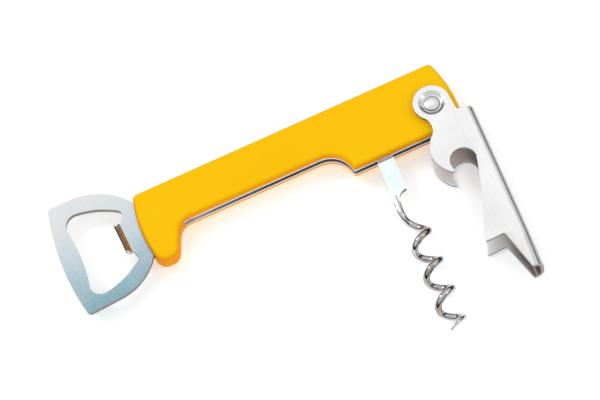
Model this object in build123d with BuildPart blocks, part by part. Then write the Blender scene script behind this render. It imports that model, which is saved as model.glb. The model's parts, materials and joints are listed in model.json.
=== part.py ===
from build123d import *
from math import cos, pi, sin, sqrt
import os

# A waiter's corkscrew lying on its back. Everything is drawn about the lever rivet:
# +X out of the handle's lever end, +Y to the handle's back edge, +Z to the front.
# The finished pieces are moved so that the object stands on z = 0 about its own centre.

# Handle outline, measured from the lever rivet
back_edge = 14.8  # up to the back edge
heel_edge = 9.2  # down to the underside of the heel
grip_edge = 0.6  # down to the underside of the grip
nub_edge = 11.4  # down to the bottom of the nub
lever_end = 8.2  # out to the handle's lever end
opener_end = 104.8  # out to the handle's opener end
heel_length = 32.8  # out to the corner where the heel ends
end_bow = 45.0  # radius of the two bowed ends
nub_width = 6.4  # width of the nub's bottom before rounding
nub_slope = 5.2  # how far the nub's inner side leans out
back_corner = 1.9  # corner radii of the outline
nub_corner = 3.6
nub_hollow = 5.0
heel_corner = 0.8

# Layers, from the middle out
core = 2.0  # gap between the liners
liner_sheet = 0.85
cover_thickness = 2.15
edge_round = 1.5  # rounding of the covers' outer edges
back_rim = 1.4  # width of the covers' rim along the back
end_rim = 3.2  # width of the covers' rim at the two ends
frame_gap = 0.1  # clearance between the covers' rims and the frame

# Covers' pegs, through both liners
peg_radius = 1.4
peg_depth = 1.2  # how far a peg enters the opposite cover

# Rivets of the frame
core_rivet_radius = 1.2
core_rivet_head = 1.9
core_rivet_head_height = 0.45
head_pocket = 0.2  # room around a hidden rivet head
rivet_fit = 0.02  # radial clearance of a fixed rivet or pin

# Opener plate
opener_top = 23.8  # above the rivet
opener_bottom = 16.8  # below the rivet
opener_length = 28.3  # how far the plate stands out of the handle
opener_lean = 3.6  # how far its upper corner stands in from its end
neck_depth = 6.3  # below the rivet, where the plate's lower edge meets the handle
tang_length = 36.8  # how far the tang runs into the handle
mouth_gap = 4.8  # handle to the side of the hole that carries the tooth
tooth_rise = 2.3  # above the plate
tooth_sheet = 1.1
tooth_reach = 2.6  # into the hole

# Worm
worm_pin_radius = 1.25
worm_lean = 4.5  # degrees short of square to the handle
shank_width = 5.8
shank_length = 17.5
shank_play = 0.06  # clearance on each side between the liners
wire_radius = 1.2
helix_radius = 3.4  # to the middle of the wire
helix_start = 34.0  # pin to the first full turn
helix_pitch = 11.1
lead_in = 9.5  # from the straight wire into the first turn
tip_gap = 1.7  # folded tip to the nub
tip_radius = 0.3
turn_fit = 0.05  # radial running clearance on a pin

# Lever
cheek_room = 1.0  # between a cover and the inside of the channel
lever_sheet = 1.2
lever_lean = 2.95  # degrees short of square to the handle
spine_reach = 12.2  # rivet to the outside of the spine
lever_length = 67.5  # rivet to the tip
tip_taper = 14.0  # length over which the channel narrows
tip_narrowing = 2.2  # channel to tip, measured inside
tip_bend = 3.2  # outside radius of the folded edges at the tip
bend_radius = 2.4  # outside radius of the folded edges
tip_width = 3.6
foot_rise = 14.3  # how far the foot stands back from the tip
ear_radius = 6.3
waist = 3.9  # below the rivet, where the ear narrows
notch_radius = 4.5

# Lever rivet
lever_rivet_radius = 1.5
lever_rivet_head = 2.6
head_rim = 0.35  # height of a head's straight edge
dimple_radius = 4.4
dimple_taper = 1.5
dimple_round = 0.7  # radius of a dimple's rounded rim
dimple_play = 0.1  # between a dimple and the cover
head_play = 0.03
head_recess = 0.05  # how far the heads lie below the lever's faces

# Worm spring and end spacer
spring_play = 0.1
leaf_thickness = 3.0

# Sizes that follow from those above
liner_top = core / 2 + liner_sheet
cover_top = liner_top + cover_thickness
lever_inside = 2 * (cover_top + cheek_room)
tip_inside = lever_inside - tip_narrowing
lever_half = lever_inside / 2 + lever_sheet
dimple_depth = cheek_room - dimple_play
tang_end = -(opener_end - tang_length)

worm_pin_place = (-(heel_length - 11.5), -(heel_edge - 4.6))
peg_places = [(-(opener_end - 24.8), back_edge - 5.4), (-(heel_length + 3.2), back_edge - 4.4)]
tang_rivets = [(-(opener_end - 9.8), back_edge - 8.0), (tang_end - 5.0, back_edge - 5.6)]
spring_rivets = [(tang_end + 4.5, back_edge - 5.4), (tang_end + 13.0, back_edge - 5.2)]
spacer_rivet = (lever_end - 15.2, back_edge - 5.0)
core_rivet_places = [*tang_rivets, *spring_rivets, spacer_rivet]


def bowed(reach, height):
    """Distance from the rivet to a bowed end, at a height above the rivet."""
    return reach - end_bow + sqrt(end_bow**2 - height**2)


def corner(builder, point):
    """The outline's corner nearest to a point."""
    return builder.vertices().sort_by_distance(point)[0]


# ---- Handle outline ----
grip_corner = (-bowed(opener_end, back_edge), back_edge)
lever_corner = (bowed(lever_end, back_edge), back_edge)
heel_end = (bowed(lever_end, heel_edge), -heel_edge)
heel_point = (-heel_length, -heel_edge)
step = heel_edge - grip_edge
step_middle = (-heel_length - step, -heel_edge)
nub_outer = (-bowed(opener_end, nub_edge), -nub_edge)
nub_inner = (nub_outer[0] + nub_width, -nub_edge)
nub_root = (nub_inner[0] + nub_slope, -grip_edge)

with BuildSketch() as handle_side:
    with BuildLine():
        Line(grip_corner, lever_corner)
        ThreePointArc(lever_corner, (lever_end, 0), heel_end)
        Line(heel_end, heel_point)
        CenterArc(step_middle, step, 0, 90)
        Line((step_middle[0], -grip_edge), nub_root)
        Line(nub_root, nub_inner)
        Line(nub_inner, nub_outer)
        ThreePointArc(nub_outer, (-opener_end, 0), grip_corner)
    make_face()
    fillet([corner(handle_side, grip_corner), corner(handle_side, lever_corner)], back_corner)
    fillet([corner(handle_side, heel_end), corner(handle_side, heel_point)], heel_corner)
    fillet(corner(handle_side, nub_root), nub_hollow)
    fillet([corner(handle_side, nub_inner), corner(handle_side, nub_outer)], nub_corner)

frame_top = back_edge - back_rim
frame_right = lever_end - end_rim
frame_left = -(opener_end - end_rim)
grip_left = nub_root[0] + 1.2  # where the nub's solid part ends
nub_roof = grip_edge + 0.4
below = -nub_edge - 5  # clear of the whole outline


def frame_window(gap):
    """The room that the covers' rims leave for the frame, open along the underside."""
    with BuildSketch() as window:
        with BuildLine():
            Polyline(
                (frame_left - gap, nub_roof - gap),
                (frame_left - gap, frame_top + gap),
                (frame_right + gap, frame_top + gap),
                (frame_right + gap, below),
                (grip_left - gap, below),
                (grip_left - gap, nub_roof - gap),
                close=True,
            )
        make_face()
    return window.sketch


# ---- Opener plate ----
plate_left = -(opener_end + opener_length)
neck_top = (-bowed(opener_end, frame_top), frame_top - frame_gap)
neck_bottom = (-bowed(opener_end, neck_depth) + 0.4, -neck_depth)

with BuildSketch() as opener_outline:
    with BuildLine():
        top_left = (plate_left + opener_lean, opener_top)
        bottom_left = (plate_left + 1.3, -opener_bottom)
        top_run = Line(top_left, (plate_left + 11.3, opener_top))
        top_sweep = TangentArc(top_run @ 1, neck_top, tangent=top_run % 1)
        Polyline(
            top_sweep @ 1,
            (tang_end, frame_top - frame_gap),
            (tang_end, grip_edge),
            (grip_left, -grip_edge - 0.3),
            (nub_inner[0] + 0.5, -grip_edge - 1.8),
            neck_bottom,
        )
        low_run = Line(bottom_left, (plate_left + 13.0, -opener_bottom + 0.8))
        TangentArc(low_run @ 1, neck_bottom, tangent=low_run % 1)
        ThreePointArc(top_left, (plate_left, 1.0), bottom_left)
    make_face()
    fillet(corner(opener_outline, top_left), 1.8)
    fillet(corner(opener_outline, bottom_left), 1.5)

# the hole follows the plate's edge as a rim of even width
hole_right = -(opener_end + mouth_gap)
hole_top = (plate_left + 5.6, 18.4)
hole_back = (hole_right + 2.3, 12.2)
tooth_top = (hole_right, 8.3)
tooth_bottom = (hole_right, -3.0)
hole_heel = (hole_right + 0.7, -5.6)
hole_low = (plate_left + 3.8, -12.6)

with BuildSketch() as opener_hole:
    with BuildLine():
        ThreePointArc(hole_top, (plate_left + 16.3, 17.2), hole_back)
        Polyline(hole_back, tooth_top, tooth_bottom, hole_heel)
        ThreePointArc(hole_heel, (plate_left + 15.8, -10.5), hole_low)
        ThreePointArc(hole_low, (plate_left + 6.9, 4.0), hole_top)
    make_face()
    fillet(corner(opener_hole, hole_top), 4.5)
    fillet(corner(opener_hole, hole_low), 3.8)
    fillet(corner(opener_hole, hole_back), 1.7)
    fillet(corner(opener_hole, hole_heel), 0.9)

with BuildPart() as opener_plate:
    with BuildSketch():
        add(opener_outline.sketch)
        add(opener_hole.sketch, mode=Mode.SUBTRACT)
    extrude(amount=core / 2, both=True)
    # the tooth is a tab of the hole's edge, bent up towards the front
    with BuildSketch(Plane.XZ.offset(-tooth_top[1])):
        with BuildLine():
            Polyline(
                (hole_right + 0.3, core / 2),
                (hole_right + 0.3, core / 2 - tooth_sheet),
                (hole_right, core / 2 - tooth_sheet),
            )
            under = Spline(
                (hole_right, core / 2 - tooth_sheet),
                (hole_right - tooth_reach, core / 2 - tooth_sheet + tooth_rise),
                tangents=((-1, 0), (-0.35, 1)),
            )
            Line(under @ 1, (hole_right - tooth_reach + tooth_sheet, tooth_rise + core / 2 - 0.5))
            Spline(
                (hole_right - tooth_reach + tooth_sheet, tooth_rise + core / 2 - 0.5),
                (hole_right + 0.3, core / 2),
                tangents=((0.35, -1), (1, 0)),
            )
        make_face()
    extrude(amount=tooth_top[1] - tooth_bottom[1])


def core_holes(places, radius):
    """Drill a hole through the piece being built at each place."""
    with Locations(*places):
        Hole(radius=radius)


# ---- End spacer and worm spring, in the same layer as the tang ----
spacer_left = spacer_rivet[0] - 5.5
spacer_bottom = -3.8
layer_top = frame_top - frame_gap

with BuildPart() as end_spacer:
    with BuildSketch():
        with BuildLine():
            Polyline(
                (spacer_left, layer_top),
                (frame_right - frame_gap, layer_top),
                (frame_right - frame_gap, spacer_bottom),
                (-4.0, spacer_bottom),
                (spacer_left, 5.0),
                close=True,
            )
        make_face()
    extrude(amount=core / 2, both=True)
    core_holes([(0, 0)], lever_rivet_radius + turn_fit)
    core_holes([spacer_rivet], core_rivet_radius + rivet_fit)

spring_left = tang_end + 0.4
leaf_root = spring_rivets[1][0] + 5.0
root_low = grip_edge + leaf_thickness + 1.6
root_high = root_low + leaf_thickness
head_top = worm_pin_place[1] + shank_width / 2 + spring_play
rest_start = worm_pin_place[0] - 1.5
leaf_tip = worm_pin_place[0] + 2.0

with BuildPart() as worm_spring:
    with BuildSketch():
        with BuildLine():
            Polyline(
                (leaf_root, root_low),
                (spring_left, grip_edge + 0.2),
                (spring_left, layer_top),
                (leaf_root, layer_top),
                (leaf_root, root_high),
            )
            leaf_back = Spline(
                (leaf_root, root_high),
                (leaf_tip, head_top + leaf_thickness),
                tangents=((1, -0.1), (1, -0.15)),
            )
            Polyline(leaf_back @ 1, (leaf_tip, head_top), (rest_start, head_top))
            Spline((rest_start, head_top), (leaf_root, root_low), tangents=((-1, 0.25), (-1, 0.1)))
        make_face()
    extrude(amount=core / 2, both=True)
    core_holes(spring_rivets, core_rivet_radius + rivet_fit)

# the tang takes the first two core rivets and the front cover's first peg
with opener_plate:
    core_holes(tang_rivets, core_rivet_radius + rivet_fit)
    core_holes(peg_places[:1], peg_radius + frame_gap)

# ---- Liners ----
with BuildPart() as front_liner:
    with BuildSketch(Plane.XY.offset(core / 2)):
        add(handle_side.sketch)
        add(frame_window(0), mode=Mode.INTERSECT)
    extrude(amount=liner_sheet)
    core_holes(core_rivet_places, core_rivet_radius + rivet_fit)
    core_holes(peg_places, peg_radius + frame_gap)
    core_holes([worm_pin_place], worm_pin_radius + rivet_fit)
    core_holes([(0, 0)], lever_rivet_radius + turn_fit)

with BuildPart() as back_liner:
    mirror(front_liner.part, about=Plane.XY)

# ---- Covers ----
hidden_heads = [*core_rivet_places, worm_pin_place]

with BuildPart() as cover_shell:
    with BuildSketch():
        add(handle_side.sketch)
    extrude(amount=cover_top)
    fillet(cover_shell.faces().sort_by(Axis.Z)[-1].edges(), edge_round)
    with BuildSketch():
        add(frame_window(frame_gap))
    extrude(amount=liner_top, mode=Mode.SUBTRACT)
    with BuildSketch():
        add(opener_outline.sketch)
        offset(amount=frame_gap)
    extrude(amount=core / 2, mode=Mode.SUBTRACT)
    with BuildSketch(Plane.XY.offset(liner_top)):
        with Locations(*hidden_heads):
            Circle(core_rivet_head + head_pocket)
    extrude(amount=core_rivet_head_height + head_pocket, mode=Mode.SUBTRACT)
    core_holes([(0, 0)], lever_rivet_radius + turn_fit)

with BuildPart() as front_cover:
    add(cover_shell.part)
    with BuildSketch(Plane.XY.offset(liner_top)):
        with Locations(*peg_places):
            Circle(peg_radius)
    extrude(amount=-(2 * liner_top + peg_depth))

with BuildPart() as back_cover:
    mirror(cover_shell.part, about=Plane.XY)
    with BuildSketch(Plane.XY.offset(-liner_top)):
        with Locations(*peg_places):
            Circle(peg_radius + frame_gap)
    extrude(amount=-(peg_depth + frame_gap), mode=Mode.SUBTRACT)

# ---- Fixed rivets and the worm's pin ----
core_rivets = []
for place in core_rivet_places:
    with BuildPart() as core_rivet:
        with Locations(place):
            Cylinder(core_rivet_radius, 2 * liner_top)
        with BuildSketch(Plane.XY.offset(liner_top), Plane.XY.offset(-liner_top - core_rivet_head_height)):
            with Locations(place):
                Circle(core_rivet_head)
        extrude(amount=core_rivet_head_height, dir=(0, 0, 1))
    core_rivets.append(core_rivet.part)

with BuildPart() as worm_pin:
    with Locations(worm_pin_place):
        Cylinder(worm_pin_radius, 2 * liner_top)
    with BuildSketch(Plane.XY.offset(liner_top), Plane.XY.offset(-liner_top - core_rivet_head_height)):
        with Locations(worm_pin_place):
            Circle(core_rivet_head)
    extrude(amount=core_rivet_head_height, dir=(0, 0, 1))

# ---- Worm, drawn hanging straight down from its pin ----
shank_half = shank_width / 2
wire_middle = -shank_half + wire_radius
helix_axis = wire_middle + helix_radius - 0.5
neck_radius = shank_width - 2 * wire_radius
neck_end = -shank_length - neck_radius
straight_end = helix_start - lead_in
nub_face = -(nub_root[0] + nub_inner[0]) / 2
worm_reach = nub_face + worm_pin_place[0] - tip_gap
turns = (worm_reach - helix_start) / helix_pitch


def helix_point(turn):
    """Middle of the wire, a number of turns after the first front crossing on the right."""
    angle = 2 * pi * turn
    return (
        helix_axis + helix_radius * cos(angle),
        -helix_start - helix_pitch * turn,
        helix_radius * sin(angle),
    )


def helix_run(turn):
    """Direction of the wire at that turn."""
    angle = 2 * pi * turn
    return (
        -2 * pi * helix_radius * sin(angle),
        -helix_pitch,
        2 * pi * helix_radius * cos(angle),
    )


taper_turns = 0.45
taper_steps = 6
body_turns = turns - taper_turns
points_per_turn = 16
body_count = round(body_turns * points_per_turn)

with BuildPart() as worm:
    with BuildSketch():
        with BuildLine():
            Line((-shank_half, 0), (-shank_half, neck_end))
            Line((-shank_half, neck_end), (shank_half - neck_radius, neck_end))
            CenterArc((shank_half, neck_end), neck_radius, 180, -90)
            Line((shank_half, -shank_length), (shank_half, 0))
            CenterArc((0, 0), shank_half, 0, 180)
        make_face()
    extrude(amount=core / 2 - shank_play, both=True)
    core_holes([(0, 0)], worm_pin_radius + turn_fit)
    with BuildLine() as wire_line:
        Line((wire_middle, -shank_length - 1, 0), (wire_middle, -straight_end, 0))
        Spline(
            (wire_middle, -straight_end, 0),
            (wire_middle + 0.3 * helix_radius, -straight_end - 0.32 * lead_in, -0.62 * helix_radius),
            (helix_axis + 0.15 * helix_radius, -straight_end - 0.58 * lead_in, -0.97 * helix_radius),
            (helix_axis + 0.75 * helix_radius, -straight_end - 0.8 * lead_in, -0.66 * helix_radius),
            helix_point(0),
            tangents=((0, -1, 0), helix_run(0)),
            tangent_scalars=(1, 1),
        )
        Spline(
            *[helix_point(body_turns * n / body_count) for n in range(body_count + 1)],
            tangents=(helix_run(0), helix_run(body_turns)),
            tangent_scalars=(1, 1),
        )
    wire_path = wire_line.wires()[0]
    with BuildSketch(Plane(origin=wire_path @ 0, z_dir=wire_path % 0)):
        Circle(wire_radius)
    sweep(path=wire_path)
    # the point: circles that shrink along the last part of the turn
    for n in range(taper_steps + 1):
        turn = body_turns + taper_turns * n / taper_steps
        outward = (cos(2 * pi * turn), 0, sin(2 * pi * turn))
        with BuildSketch(Plane(origin=helix_point(turn), x_dir=outward, z_dir=helix_run(turn))):
            Circle(wire_radius + (tip_radius - wire_radius) * n / taper_steps)
    loft()

# ---- Lever, drawn hanging straight down from its rivet ----
tip_outer = (spine_reach, -lever_length)
tip_inner = (spine_reach - tip_width, -lever_length)
foot_heel = (spine_reach - 7.8, -lever_length + foot_rise)
foot_toe = (-2.5, foot_heel[1] - 0.6)
notch_middle = (1.95, -23.6)
notch_out = (notch_middle[0] + notch_radius, notch_middle[1])
notch_in = (notch_middle[0] - notch_radius, notch_middle[1])
hook_point = (notch_in[0] + 0.5, notch_in[1] - 3.1)
hook_top = (-4.9, -11.8)
waist_top = (-sqrt(ear_radius**2 - waist**2), -waist)
shoulder = (ear_radius + 0.5, -5.4)
spine_top = (spine_reach, -6.2)

with BuildSketch() as lever_side:
    with BuildLine():
        ThreePointArc(waist_top, (0, ear_radius), (ear_radius, 0))
        Polyline((ear_radius, 0), shoulder, spine_top, tip_outer, tip_inner, foot_heel, foot_toe)
        ThreePointArc(foot_toe, (2.45, -38.7), notch_out)
        CenterArc(notch_middle, notch_radius, 0, 180)
        Line(notch_in, hook_point)
        ThreePointArc(hook_point, (-7.15, -18.6), hook_top)
        ThreePointArc(hook_top, (-3.1, -7.6), waist_top)
    make_face()
    fillet(corner(lever_side, shoulder), 0.8)
    fillet(corner(lever_side, spine_top), 0.9)
    fillet([corner(lever_side, tip_inner), corner(lever_side, foot_heel)], 0.6)
    fillet(corner(lever_side, foot_toe), 0.35)
    fillet(corner(lever_side, hook_point), 0.4)


def channel_section(inside, bend, below_rivet):
    """Section of the folded channel at a depth below the rivet, open towards the worm."""
    half = inside / 2 + lever_sheet
    mouth = -2 * ear_radius
    inner_spine = spine_reach - lever_sheet
    with BuildSketch(Plane.XZ.offset(below_rivet)) as section:
        with BuildLine():
            FilletPolyline(
                (mouth, half), (spine_reach, half), (spine_reach, -half), (mouth, -half), radius=bend
            )
            FilletPolyline(
                (mouth, inside / 2),
                (inner_spine, inside / 2),
                (inner_spine, -inside / 2),
                (mouth, -inside / 2),
                radius=bend - lever_sheet,
            )
            Line((mouth, half), (mouth, inside / 2))
            Line((mouth, -half), (mouth, -inside / 2))
        make_face()
    return section.sketch


taper_start = lever_length - tip_taper
channel_top = -ear_radius - 1
with BuildPart() as lever:
    extrude(channel_section(lever_inside, bend_radius, channel_top), amount=taper_start - channel_top)
    loft(
        [
            channel_section(lever_inside, bend_radius, taper_start),
            channel_section(tip_inside, tip_bend, lever_length),
        ]
    )
    with BuildSketch():
        add(lever_side.sketch)
    extrude(amount=lever_half + 1, both=True, mode=Mode.INTERSECT)
    # a dimple pressed into each ear brings the sheet against the cover
    with Locations(Plane((0, 0, lever_half)), Plane((0, 0, -lever_half), z_dir=(0, 0, -1))):
        with Locations((0, 0, -lever_sheet)):
            Cone(
                dimple_radius + lever_sheet / 2 - dimple_taper,
                dimple_radius + lever_sheet / 2,
                dimple_depth,
                align=(Align.CENTER, Align.CENTER, Align.MAX),
            )
        Cone(
            dimple_radius - dimple_taper,
            dimple_radius,
            dimple_depth,
            align=(Align.CENTER, Align.CENTER, Align.MAX),
            mode=Mode.SUBTRACT,
        )
    dimple_rims = lever.edges().filter_by(GeomType.CIRCLE).filter_by(
        lambda edge: abs(edge.radius - dimple_radius) < 0.01
    )
    fillet(dimple_rims, dimple_round)
    core_holes([(0, 0)], lever_rivet_radius + turn_fit)

# ---- Lever rivet: a plain shank with a domed head in each dimple ----
head_seat = lever_half - dimple_depth + head_play
head_crown = lever_half - head_recess
head_edge = head_seat + head_rim
dome_point = (lever_rivet_head * 0.62, head_crown - 0.12)
with BuildPart() as lever_rivet:
    with BuildSketch(Plane.XZ):
        with BuildLine():
            ThreePointArc((0, head_crown), dome_point, (lever_rivet_head, head_edge))
            Polyline(
                (lever_rivet_head, head_edge),
                (lever_rivet_head, head_seat),
                (lever_rivet_radius, head_seat),
                (lever_rivet_radius, 0),
                (0, 0),
                (0, head_crown),
            )
        make_face()
        mirror(about=Plane.XZ)
    revolve(axis=Axis.Z)

# ---- Everything in place ----
worm_place = Location((*worm_pin_place, 0), (0, 0, -worm_lean))
lever_place = Location((0, 0, 0), (0, 0, -lever_lean))

pieces = {
    "front_cover": front_cover.part,
    "back_cover": back_cover.part,
    "front_liner": front_liner.part,
    "back_liner": back_liner.part,
    "opener_plate": opener_plate.part,
    "worm_spring": worm_spring.part,
    "end_spacer": end_spacer.part,
    "worm_pin": worm_pin.part,
    "worm": worm_place * worm.part,
    "lever": lever_place * lever.part,
    "lever_rivet": lever_rivet.part,
}
for number, core_rivet in enumerate(core_rivets, start=1):
    pieces[f"core_rivet_{number}"] = core_rivet

whole = Compound(list(pieces.values())).bounding_box()
stand = Location((-whole.center().X, -whole.center().Y, -whole.min.Z))

os.makedirs("parts", exist_ok=True)
for name, piece in pieces.items():
    placed = stand * piece
    placed.label = name
    export_step(placed, f"parts/{name}.step")
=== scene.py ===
import json
import math
import bpy
from mathutils import Matrix, Vector


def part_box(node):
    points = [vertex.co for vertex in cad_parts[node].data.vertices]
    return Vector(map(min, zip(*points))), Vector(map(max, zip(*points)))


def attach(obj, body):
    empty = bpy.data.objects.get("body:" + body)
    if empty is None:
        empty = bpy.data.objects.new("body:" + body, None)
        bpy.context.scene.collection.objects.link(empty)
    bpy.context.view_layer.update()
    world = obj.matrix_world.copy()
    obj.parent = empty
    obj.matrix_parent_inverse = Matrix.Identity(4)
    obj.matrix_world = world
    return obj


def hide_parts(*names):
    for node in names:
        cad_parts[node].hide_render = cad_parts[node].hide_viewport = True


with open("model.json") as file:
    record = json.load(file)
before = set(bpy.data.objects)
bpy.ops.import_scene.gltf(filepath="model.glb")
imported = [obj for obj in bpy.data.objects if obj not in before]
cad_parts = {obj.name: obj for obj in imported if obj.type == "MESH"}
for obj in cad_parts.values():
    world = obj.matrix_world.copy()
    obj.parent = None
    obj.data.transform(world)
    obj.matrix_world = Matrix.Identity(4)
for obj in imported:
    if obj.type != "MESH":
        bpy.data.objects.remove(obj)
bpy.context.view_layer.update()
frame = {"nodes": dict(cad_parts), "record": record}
print("frame loaded:", len(frame["nodes"]), "CAD nodes")

mm = 0.001
rivetLow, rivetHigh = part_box("lever_rivet")
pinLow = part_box("worm_pin")[0]
plateLow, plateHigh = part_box("opener_plate")
rivetMiddle = (rivetLow + rivetHigh) / 2  # lever's axis, at the handle's mid-plane
bodyOf = {node: body for body, nodes in frame["record"]["behaviour"]["bodies"].items() for node in nodes}
slotOf = {entry["node"]: entry["material_slot"] for entry in frame["record"]["subparts"]}


# a shader socket that takes part in Python sums and products
class Value:
    def __init__(self, finish, socket):
        self.finish = finish
        self.socket = socket

    def maths(self, operation, first, second):
        return self.finish.node("ShaderNodeMath", {"operation": operation}, {0: first, 1: second})

    def __add__(self, other):
        return self.maths("ADD", self, other)

    def __radd__(self, other):
        return self.maths("ADD", other, self)

    def __sub__(self, other):
        return self.maths("SUBTRACT", self, other)

    def __rsub__(self, other):
        return self.maths("SUBTRACT", other, self)

    def __mul__(self, other):
        return self.maths("MULTIPLY", self, other)

    def __rmul__(self, other):
        return self.maths("MULTIPLY", other, self)

    def __abs__(self):
        return self.maths("ABSOLUTE", self, 0.0)


# one material, and the nodes it is made of
class Finish:
    def __init__(self, name):
        self.material = bpy.data.materials.new(name)
        self.material.use_nodes = True
        self.tree = self.material.node_tree
        self.tree.nodes.clear()

    def node(self, kind, settings=None, sockets=None, output=0):
        made = self.tree.nodes.new(kind)
        for key, value in (settings or {}).items():
            if key == "stops":
                for place, (position, colour) in enumerate(value):
                    stops = made.color_ramp.elements
                    stop = stops[place] if place < 2 else stops.new(position)
                    stop.position = position
                    stop.color = colour
            else:
                setattr(made, key, value)
        for key, value in (sockets or {}).items():
            if isinstance(value, Value):
                self.tree.links.new(value.socket, made.inputs[key])
            else:
                made.inputs[key].default_value = value
        return Value(self, made.outputs[output]) if made.outputs else None

    def point(self, stretch=(1, 1, 1), turn=0.0):
        where = self.node("ShaderNodeTexCoord", output="Object")
        return self.node("ShaderNodeMapping", {}, {
            "Vector": where, "Scale": stretch, "Rotation": (0, 0, math.radians(turn))})

    def axis(self, name):
        return self.node("ShaderNodeSeparateXYZ", {}, {0: self.point()}, name)

    def noise(self, point, scale, detail=3.0, rough=0.5):
        return self.node("ShaderNodeTexNoise", {}, {
            "Vector": point, "Scale": scale, "Detail": detail, "Roughness": rough})

    def spread(self, value, low, high, newLow=0.0, newHigh=1.0):
        return self.node("ShaderNodeMapRange", {}, {
            "Value": value, "From Min": low, "From Max": high, "To Min": newLow, "To Max": newHigh})

    def mix(self, amount, first, second):
        return self.node("ShaderNodeMix", {"data_type": "RGBA"}, {0: amount, 6: first, 7: second}, 2)

    def fromRivet(self):
        offset = self.node("ShaderNodeVectorMath", {"operation": "SUBTRACT"}, {
            0: self.point(), 1: tuple(rivetMiddle)})
        flat = self.node("ShaderNodeVectorMath", {"operation": "MULTIPLY"}, {0: offset, 1: (1, 1, 0)})
        return self.node("ShaderNodeVectorMath", {"operation": "LENGTH"}, {0: flat}, "Value")

    def bump(self, height, strength, distance):
        return self.node("ShaderNodeBump", {}, {
            "Height": height, "Strength": strength, "Distance": distance})

    def surface(self, **sockets):
        shader = self.node("ShaderNodeBsdfPrincipled", {}, {
            key.replace("_", " "): value for key, value in sockets.items()})
        self.node("ShaderNodeOutputMaterial", {}, {"Surface": shader})
        return self.material


coverLook = dict(
    yellow=(1.0, 0.575, 0.0, 1), shade=(1.0, 0.53, 0.0, 1), side=(1.0, 0.36, 0.0, 1),
    rough=0.44, grain=1500, cloud=45, shine=0.07, ior=1.46,
    faceUpright=0.98, sideUpright=0.25,  # the painted side shade comes in between these
    grainDepth=0.00004)


def yellowMoulding():
    finish = Finish("yellowMoulding")
    cloud = finish.noise(finish.point(), coverLook["cloud"], 4)
    grain = finish.noise(finish.point(), coverLook["grain"], 2)
    colour = finish.mix(finish.spread(cloud, 0.35, 0.8), coverLook["yellow"], coverLook["shade"])
    facing = finish.node("ShaderNodeTexCoord", output="Normal")
    upright = abs(finish.node("ShaderNodeSeparateXYZ", {}, {0: facing}, "Z"))
    sideShadeAmount = finish.spread(upright, coverLook["faceUpright"], coverLook["sideUpright"])
    colour = finish.mix(sideShadeAmount, colour, coverLook["side"])  # painted shade: deeper orange on the sides
    return finish.surface(Base_Color=colour, Roughness=coverLook["rough"] + 0.12 * cloud,
                          IOR=coverLook["ior"], Specular_IOR_Level=coverLook["shine"],
                          Normal=finish.bump(grain, 0.06, coverLook["grainDepth"]))


# satin steel: fine stretched lines, with a soft cloud over them
def satinSteel(name, light, dark, lineTurn, rough, lines=(25, 900), depth=0.08, cloudSize=70):
    finish = Finish(name)
    along, across = lines
    brushed = finish.noise(finish.point((along, across, across), lineTurn), 1.0, 3, 0.6)
    cloud = finish.noise(finish.point(), cloudSize, 4)
    tone = finish.mix(finish.spread(0.6 * cloud + 0.4 * brushed, 0.35, 0.68), light, dark)
    return finish.surface(Base_Color=tone, Metallic=1.0, Roughness=rough + 0.12 * brushed + 0.06 * cloud,
                          Normal=finish.bump(brushed, depth, 0.00005))


plateLook = dict(
    top=(0.61, 0.615, 0.615, 1), middle=(0.44, 0.515, 0.55, 1), low=(0.20, 0.335, 0.385, 1),
    rough=0.24, brushTurn=24, brush=(220, 40, 200), speck=(2300, 900, 2000), cloud=55,
    wallShade=0.30, bevelled=0.97,  # faces less upright than these are walls with painted shade, then bevels with a painted highlight
    toothFrom=1.05 * mm, lipFrom=2.2 * mm, lipNarrowing=0.84, lipThinning=0.55 * mm)


def zincPlate():
    finish = Finish("zincPlate")
    across = finish.noise(finish.point(plateLook["brush"], plateLook["brushTurn"]), 1.0, 4, 0.65)
    speck = finish.noise(finish.point(plateLook["speck"], plateLook["brushTurn"]), 1.0, 2)
    cloud = finish.noise(finish.point(), plateLook["cloud"], 4)
    # painted reflection: darker and bluer towards the plate's low end, lighter towards its top, over the
    # zinc's own bluish tone
    height = finish.spread(finish.axis("Y"), plateLow.y, plateHigh.y)
    level = height + 0.30 * cloud - 0.15 + 0.40 * across - 0.20 + 0.46 * speck - 0.23
    tone = finish.node("ShaderNodeValToRGB", {"stops": [
        (0.0, plateLook["low"]), (1.0, plateLook["top"]), (0.5, plateLook["middle"])]}, {0: level})
    return finish.surface(Base_Color=tone, Metallic=1.0, Roughness=plateLook["rough"] + 0.16 * speck,
                          Normal=finish.bump(0.5 * across + speck, 0.12, 0.00006))


# the tooth is burnished smooth by the bending tool
def burnishedTooth():
    finish = Finish("burnishedTooth")
    cloud = finish.noise(finish.point(), 700, 4)
    tone = finish.mix(cloud, (0.74, 0.73, 0.72, 1), (0.55, 0.55, 0.56, 1))
    return finish.surface(Base_Color=tone, Metallic=1.0, Roughness=0.06 + 0.12 * cloud,
                          Normal=finish.bump(cloud, 0.10, 0.00004))


leverLook = dict(
    face=(0.69, 0.69, 0.685, 1), shade=(0.61, 0.61, 0.605, 1), rough=0.20,
    edge=(0.27, 0.265, 0.26, 1), spine=(0.52, 0.52, 0.515, 1),
    dull=(0.88, 0.87, 0.86, 1), channelShade=(0.15, 0.105, 0.08, 1), grime=(0.26, 0.255, 0.25, 1),
    lean=2.95,  # degrees that the lever leans from straight down
    spineWall=10.4 * mm, channelShadeFrom=4.5 * mm, halfInside=5 * mm, inward=-0.2, backward=-0.5,
    groove=2.68 * mm, grooveWide=0.24 * mm, grooveSharp=0.06 * mm)


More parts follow.
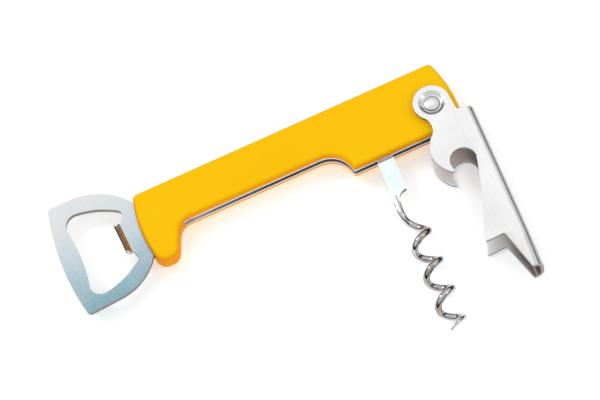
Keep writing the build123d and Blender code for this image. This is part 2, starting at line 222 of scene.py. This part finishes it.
def satinNickel():
    finish = Finish("satinNickel")
    lines = finish.noise(finish.point((900, 30, 900), 3), 1.0, 3, 0.6)
    cloud = finish.noise(finish.point(), 80, 4)
    patches = finish.spread(0.7 * cloud + 0.3 * lines, 0.35, 0.7)
    tone = finish.mix(patches, leverLook["face"], leverLook["shade"])
    facing = finish.node("ShaderNodeTexCoord", output="Normal")
    upright = abs(finish.node("ShaderNodeSeparateXYZ", {}, {0: facing}, "Z"))
    spineward = finish.node("ShaderNodeSeparateXYZ", {}, {0: facing}, "X")
    # painted reflection and shade: dark on the bends and faces turned from upright, mid-grey on the
    # spine's wall
    tone = finish.mix(finish.spread(upright, 0.86, 0.45), tone, leverLook["edge"])
    tone = finish.mix(finish.spread(spineward, 0.86, 0.99), tone, leverLook["spine"])
    groove = finish.spread(abs(finish.fromRivet() - leverLook["groove"]),
                           leverLook["grooveWide"], leverLook["grooveSharp"])
    tone = finish.mix(groove, tone, leverLook["grime"])  # painted shade in the groove round the rivet's head
    return finish.surface(Base_Color=tone, Metallic=1.0, Roughness=leverLook["rough"] + 0.10 * lines,
                          Normal=finish.bump(lines, 0.025, 0.00004))


# the channel's inside was never polished, so it is rougher; its colour is light on the walls, with painted
# shade, darker and browner, towards the spine
def shadedInnerNickel():
    finish = Finish("shadedInnerNickel")
    lean = math.radians(leverLook["lean"])
    cloud = finish.noise(finish.point(), 260, 5, 0.6)
    sideways = ((finish.axis("X") - rivetMiddle.x) * math.cos(lean)
                - (finish.axis("Y") - rivetMiddle.y) * math.sin(lean))
    depth = finish.spread(sideways, leverLook["channelShadeFrom"], leverLook["spineWall"])
    tone = finish.mix(depth + 0.3 * cloud - 0.15, leverLook["dull"], leverLook["channelShade"])
    return finish.surface(Base_Color=tone, Metallic=0.85, Roughness=0.36 + 0.2 * cloud,
                          Normal=finish.bump(cloud, 0.12, 0.00005))


wormLook = dict(
    bright=(0.60, 0.61, 0.625, 1), cloudy=(0.30, 0.265, 0.235, 1), wallShade=(0.17, 0.155, 0.14, 1),
    face=(0.66, 0.72, 0.745, 1), faceShade=(0.56, 0.645, 0.68, 1), rough=0.05)


def chromeWire(name, light, dark):
    finish = Finish(name)
    cloud = finish.noise(finish.point(), 160, 4)
    fine = finish.noise(finish.point(), 2200, 2)
    tone = finish.mix(finish.spread(cloud, 0.38, 0.68), light, dark)
    return finish.surface(Base_Color=tone, Metallic=1.0, Roughness=wormLook["rough"] + 0.10 * cloud,
                          Normal=finish.bump(fine, 0.04, 0.00003))


rivetLook = dict(
    crown=(0.74, 0.745, 0.75, 1), rim=(0.34, 0.335, 0.33, 1), rough=0.24,
    rimStart=2.25 * mm, rimEnd=2.55 * mm)


def rivetNickel():
    finish = Finish("rivetNickel")
    cloud = finish.noise(finish.point(), 400, 4)
    # painted shade: the head darkens towards its rim, beside the dish's groove
    rim = finish.spread(finish.fromRivet(), rivetLook["rimStart"], rivetLook["rimEnd"])
    tone = finish.mix(0.9 * rim + 0.1 * cloud, rivetLook["crown"], rivetLook["rim"])
    return finish.surface(Base_Color=tone, Metallic=1.0, Roughness=rivetLook["rough"] + 0.18 * cloud,
                          Normal=finish.bump(cloud, 0.08, 0.00004))


finishes = {
    "cover": yellowMoulding(),
    "liner": satinSteel("rolledSheet", (0.74, 0.76, 0.78, 1), (0.58, 0.60, 0.62, 1), 0, 0.26),
    "opener": zincPlate(),
    "inner_steel": satinSteel("innerSteel", (0.55, 0.55, 0.55, 1), (0.40, 0.40, 0.40, 1), 0, 0.34),
    "worm": chromeWire("chromeWire", wormLook["bright"], wormLook["cloudy"]),
    "lever": satinNickel(),
    "rivet": rivetNickel(),
}
for node, piece in frame["nodes"].items():
    piece.data.materials.clear()
    piece.data.materials.append(finishes[slotOf[node]])
shadedInnerSheet = shadedInnerNickel()
toothPolish = burnishedTooth()
# painted shade for the shank's side walls
paintedShankShade = chromeWire("shankSideShade", wormLook["wallShade"], wormLook["wallShade"])
shankFace = chromeWire("flatShank", wormLook["face"], wormLook["faceShade"])
# painted highlight for the plate's bevels, and painted shade for its walls
paintedEdgeHighlight = satinSteel("plateEdgeHighlight", (0.97, 0.97, 0.97, 1), (0.86, 0.87, 0.88, 1), 0, 0.30)
paintedWallShade = satinSteel("plateWallShade", (0.30, 0.295, 0.28, 1), (0.20, 0.195, 0.18, 1), 0, 0.34)
print("finishes on the CAD nodes:", len(finishes))


edgeSet = dict(mergeWithin=0.000002, flatWithin=0.6, bevelOver=40, smoothUnder=35)  # metres, then degrees


# a piece with softened edges, from its CAD node's own mesh
def refined(node, name, softening, segments):
    source = frame["nodes"][node]
    bpy.ops.object.select_all(action="DESELECT")
    piece = bpy.data.objects.new(name, source.data.copy())
    bpy.context.scene.collection.objects.link(piece)
    piece.select_set(True)
    bpy.context.view_layer.objects.active = piece
    bpy.ops.object.mode_set(mode="EDIT")
    bpy.ops.mesh.select_all(action="SELECT")
    bpy.ops.mesh.remove_doubles(threshold=edgeSet["mergeWithin"])
    bpy.ops.mesh.dissolve_limited(angle_limit=math.radians(edgeSet["flatWithin"]))
    bpy.ops.object.mode_set(mode="OBJECT")
    bevel = piece.modifiers.new("softEdge", "BEVEL")
    bevel.width = softening
    bevel.segments = segments
    bevel.limit_method = "ANGLE"
    bevel.angle_limit = math.radians(edgeSet["bevelOver"])
    bevel.use_clamp_overlap = True
    bevel.harden_normals = False
    bpy.ops.object.modifier_apply(modifier="softEdge")
    bpy.ops.object.shade_smooth_by_angle(angle=math.radians(edgeSet["smoothUnder"]))
    weighted = piece.modifiers.new("evenShade", "WEIGHTED_NORMAL")
    weighted.keep_sharp = True
    bpy.ops.object.modifier_apply(modifier="evenShade")
    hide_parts(node)
    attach(piece, bodyOf[node])
    print("refined", name, len(piece.data.polygons), "faces")
    return piece


lever = refined("lever", "channelLever", 0.20 * mm, 2)
plate = refined("opener_plate", "capLifterPlate", 0.28 * mm, 3)
worm = refined("worm", "chromeWorm", 0.32 * mm, 3)

# inner faces look towards the mid-plane, or back from the spine; they take the channel's painted shade
lever.data.materials.append(shadedInnerSheet)
lean = math.radians(leverLook["lean"])
for face in lever.data.polygons:
    offset = face.center - rivetMiddle
    across = offset.x * math.cos(lean) - offset.y * math.sin(lean)
    backward = face.normal.x * math.cos(lean) - face.normal.y * math.sin(lean)
    inward = face.normal.z * math.copysign(1, offset.z) < leverLook["inward"]
    onSpine = across > leverLook["spineWall"] and abs(offset.z) < leverLook["halfInside"]
    if inward or (backward < leverLook["backward"] and onSpine):
        face.material_index = 1

# the flat shank's sides get painted shade, darker than its faces, which are a lighter bluish chrome
shankLook = dict(
    top=0.5 * mm, bottom=17.2 * mm,  # below the lower edge of the pin's heads
    upright=0.93)
worm.data.materials.append(paintedShankShade)
worm.data.materials.append(shankFace)
for face in worm.data.polygons:
    below = pinLow.y - face.center.y
    if shankLook["top"] < below < shankLook["bottom"]:
        face.material_index = 2 if abs(face.normal.z) > shankLook["upright"] else 1

# the tooth's lip thins and narrows towards its tip
tooth = [vertex for vertex in plate.data.vertices if vertex.co.z > rivetMiddle.z + plateLook["lipFrom"]]
toothMiddle = sum((vertex.co for vertex in tooth), Vector()) / len(tooth)
for vertex in tooth:
    vertex.co.y = toothMiddle.y + (vertex.co.y - toothMiddle.y) * plateLook["lipNarrowing"]
    if vertex.co.x > toothMiddle.x:
        vertex.co.x -= plateLook["lipThinning"]
for finish in (toothPolish, paintedEdgeHighlight, paintedWallShade):
    plate.data.materials.append(finish)
# the tooth takes its own finish, walls take painted shade, bevels a painted highlight
for face in plate.data.polygons:
    upright = abs(face.normal.z)
    if face.center.z > rivetMiddle.z + plateLook["toothFrom"]:
        face.material_index = 1
    elif upright < plateLook["wallShade"]:
        face.material_index = 3
    elif upright < plateLook["bevelled"]:
        face.material_index = 2

# floor, light and camera
stageLook = dict(size=1.1, drop=0.0002, glow=0.34, rough=0.9, shine=0.1,
                 paper=(0.90, 0.90, 0.90, 1), paperShade=(0.92, 0.92, 0.92, 1))
bpy.ops.object.select_all(action="DESELECT")
bpy.ops.mesh.primitive_plane_add(size=stageLook["size"], location=(0, 0, -stageLook["drop"]))
floor = bpy.context.object
floor.name = "floor"
paper = Finish("paper")
paperTone = paper.mix(paper.noise(paper.point(), 8, 2), stageLook["paper"], stageLook["paperShade"])
floor.data.materials.append(paper.surface(
    Base_Color=paperTone, Roughness=stageLook["rough"], Specular_IOR_Level=stageLook["shine"],
    Emission_Color=(1, 1, 1, 1), Emission_Strength=stageLook["glow"]))

skyLook = dict(strength=1.0, stops=[  # studio brightness from the horizon up to overhead
    (0.0, (0.015, 0.013, 0.012, 1)), (1.0, (0.86, 0.86, 0.86, 1)), (0.27, (0.03, 0.028, 0.026, 1)),
    (0.44, (0.84, 0.85, 0.87, 1)), (0.75, (0.92, 0.92, 0.93, 1))], seen=(0.95, 0.95, 0.95, 1))
world = bpy.data.worlds.new("studio")
bpy.context.scene.world = world
world.use_nodes = True
skyTree = world.node_tree
direction = skyTree.nodes.new("ShaderNodeTexCoord")
split = skyTree.nodes.new("ShaderNodeSeparateXYZ")
ramp = skyTree.nodes.new("ShaderNodeValToRGB")
path = skyTree.nodes.new("ShaderNodeLightPath")
choose = skyTree.nodes.new("ShaderNodeMix")
choose.data_type = "RGBA"
for place, (position, colour) in enumerate(skyLook["stops"]):
    stops = ramp.color_ramp.elements
    stop = stops[place] if place < 2 else stops.new(position)
    stop.position = position
    stop.color = colour
skyTree.links.new(direction.outputs["Generated"], split.inputs[0])
skyTree.links.new(split.outputs["Z"], ramp.inputs[0])
skyTree.links.new(path.outputs["Is Camera Ray"], choose.inputs[0])
skyTree.links.new(ramp.outputs[0], choose.inputs[6])
choose.inputs[7].default_value = skyLook["seen"]
skyTree.links.new(choose.outputs[2], skyTree.nodes["Background"].inputs["Color"])
skyTree.nodes["Background"].inputs["Strength"].default_value = skyLook["strength"]

lamps = [  # name, place, size, power
    ("overheadSoftbox", (0.13, 0.56, 1.23), (0.95, 0.62), 1.0),
    ("keyLamp", (-0.75, 0.75, 1.15), (0.4, 0.35), 4.0),
    ("fillLamp", (0.9, -0.5, 0.9), (0.2, 0.5), 1.0),
]
for name, place, size, power in lamps:
    light = bpy.data.lights.new(name, "AREA")
    light.shape = "RECTANGLE"
    light.size, light.size_y = size
    light.energy = power
    lamp = bpy.data.objects.new(name, light)
    lamp.location = place
    lamp.rotation_euler = (Vector((0, 0, 0)) - Vector(place)).to_track_quat("-Z", "Y").to_euler()
    bpy.context.scene.collection.objects.link(lamp)

cameraSet = dict(
    swing=-13.36, tilt=25.0, roll=-12.0, distance=2.0, frameWidth=600, sensor=36.0, reach=20.0,
    perMetre=3030.0,  # image widths are counted in 1/600ths, this many to a metre at the rivet
    rivetAt=(0.0434, 0.0322))  # metres from the middle of the view, across and up
turn = (Matrix.Rotation(math.radians(cameraSet["swing"]), 4, "Z")
        @ Matrix.Rotation(math.radians(cameraSet["tilt"]), 4, "X")
        @ Matrix.Rotation(math.radians(cameraSet["roll"]), 4, "Z"))
rivetTop = Vector((rivetMiddle.x, rivetMiddle.y, rivetHigh.z))
across, upward = cameraSet["rivetAt"]
target = rivetTop + turn @ Vector((-across, -upward, cameraSet["distance"]))
camera = bpy.data.cameras.new("camera")
camera.sensor_width = cameraSet["sensor"]
camera.lens = cameraSet["perMetre"] * cameraSet["distance"] / cameraSet["frameWidth"] * camera.sensor_width
camera.clip_end = cameraSet["reach"]
eye = bpy.data.objects.new("camera", camera)
eye.matrix_world = Matrix.Translation(target) @ turn
bpy.context.scene.collection.objects.link(eye)
bpy.context.scene.camera = eye
bpy.context.scene.view_settings.view_transform = "Standard"
print("stage, lamps and camera ready")
